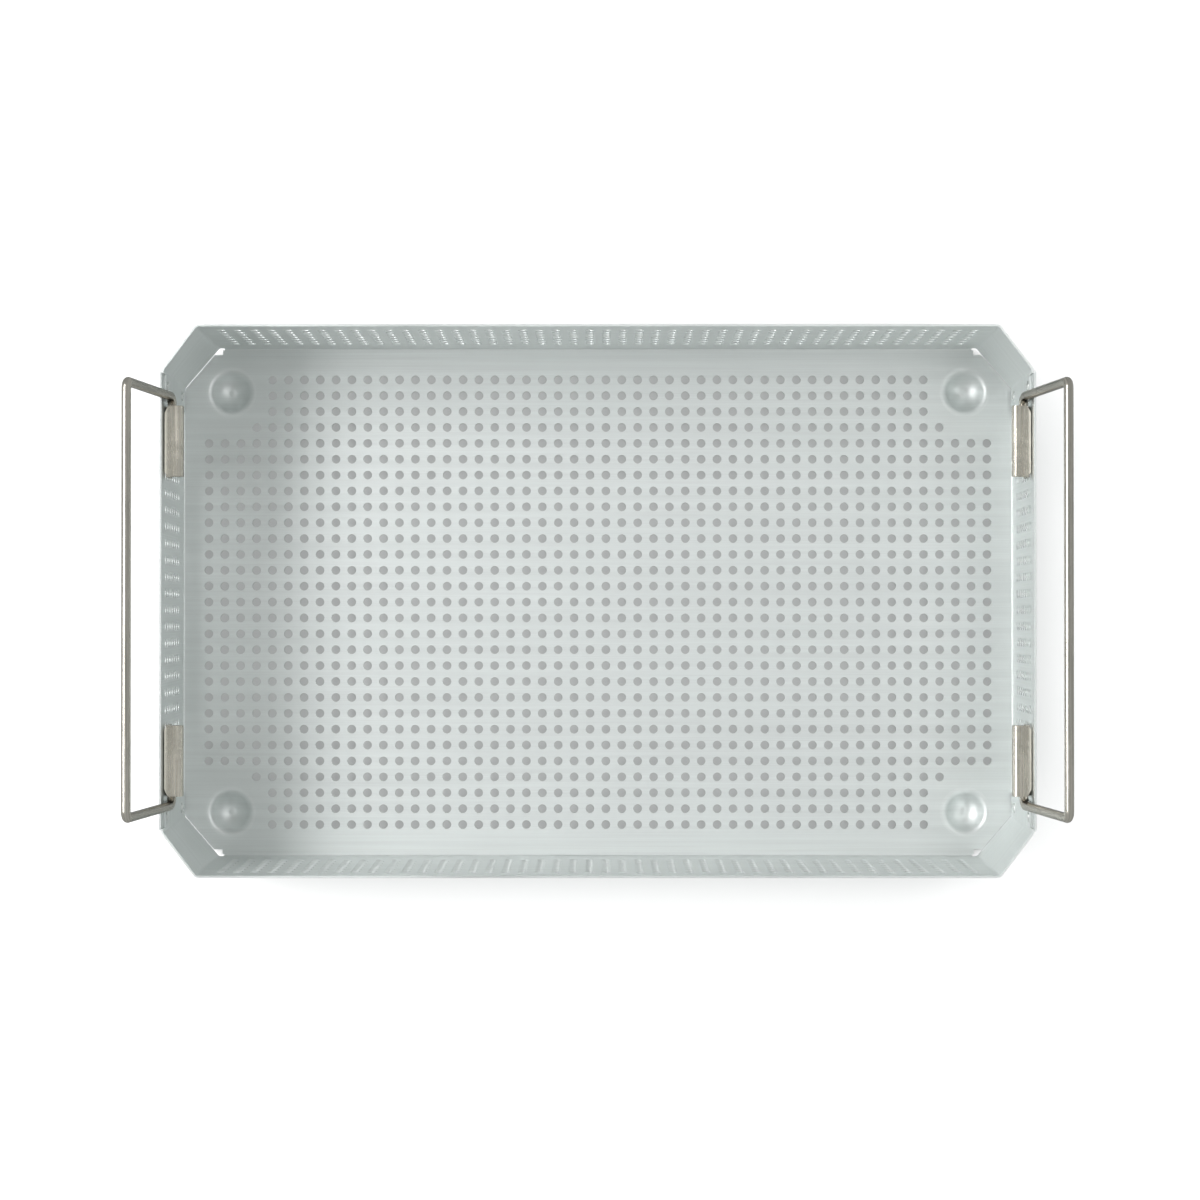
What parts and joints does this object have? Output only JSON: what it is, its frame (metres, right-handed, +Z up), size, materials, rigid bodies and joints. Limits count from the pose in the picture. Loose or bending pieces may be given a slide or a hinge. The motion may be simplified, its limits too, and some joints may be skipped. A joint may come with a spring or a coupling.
{
  "type": "instrument tray",
  "caption": "Shallow perforated metal tray with chamfered corners, pressed dish feet and a fold-in wire handle at each end, for holding and sterilising instruments.",
  "frame": {"origin": "middle of the bounding box's bottom face: under the middle of the tray, on the plane the feet stand on", "axes": "+Z up out of the tray's open top, X along the tray's length between the handles, Y across it"},
  "size_m": [0.413, 0.2548, 0.1523],
  "materials": {
    "tray_sheet": "satin silver anodised, fine brushed grain",
    "bracket_strip": "brushed stainless strip",
    "handle_wire": "drawn stainless wire",
    "rivets": "satin aluminium"
  },
  "bodies": {
    "tray": {"floor_panel": "tray_sheet", "back_wall": "tray_sheet", "front_wall": "tray_sheet", "left_end_wall": "tray_sheet", "right_end_wall": "tray_sheet", "corner_panel_front_left": "tray_sheet", "corner_panel_front_right": "tray_sheet", "corner_panel_back_left": "tray_sheet", "corner_panel_back_right": "tray_sheet", "foot_dish_front_left": "tray_sheet", "foot_dish_front_right": "tray_sheet", "foot_dish_back_left": "tray_sheet", "foot_dish_back_right": "tray_sheet", "handle_bracket_front_left": "bracket_strip", "handle_bracket_front_right": "bracket_strip", "handle_bracket_back_left": "bracket_strip", "handle_bracket_back_right": "bracket_strip", "bracket_rivets_front_left": "rivets", "bracket_rivets_front_right": "rivets", "bracket_rivets_back_left": "rivets", "bracket_rivets_back_right": "rivets", "corner_rivets_front_left": "rivets", "corner_rivets_front_right": "rivets", "corner_rivets_back_left": "rivets", "corner_rivets_back_right": "rivets"},
    "left_handle": {"left_handle": "handle_wire"},
    "right_handle": {"right_handle": "handle_wire"}
  },
  "joints": [
    {"name": "left_handle_hinge", "type": "hinge", "parent": "tray", "child": "left_handle", "pos_m": [-0.1977, 0, 0.074], "axis": [0, 1, 0], "range_deg": [0, 151.5]},
    {"name": "right_handle_hinge", "type": "hinge", "parent": "tray", "child": "right_handle", "pos_m": [0.1977, 0, 0.074], "axis": [0, -1, 0], "range_deg": [0, 151.5]}
  ]
}
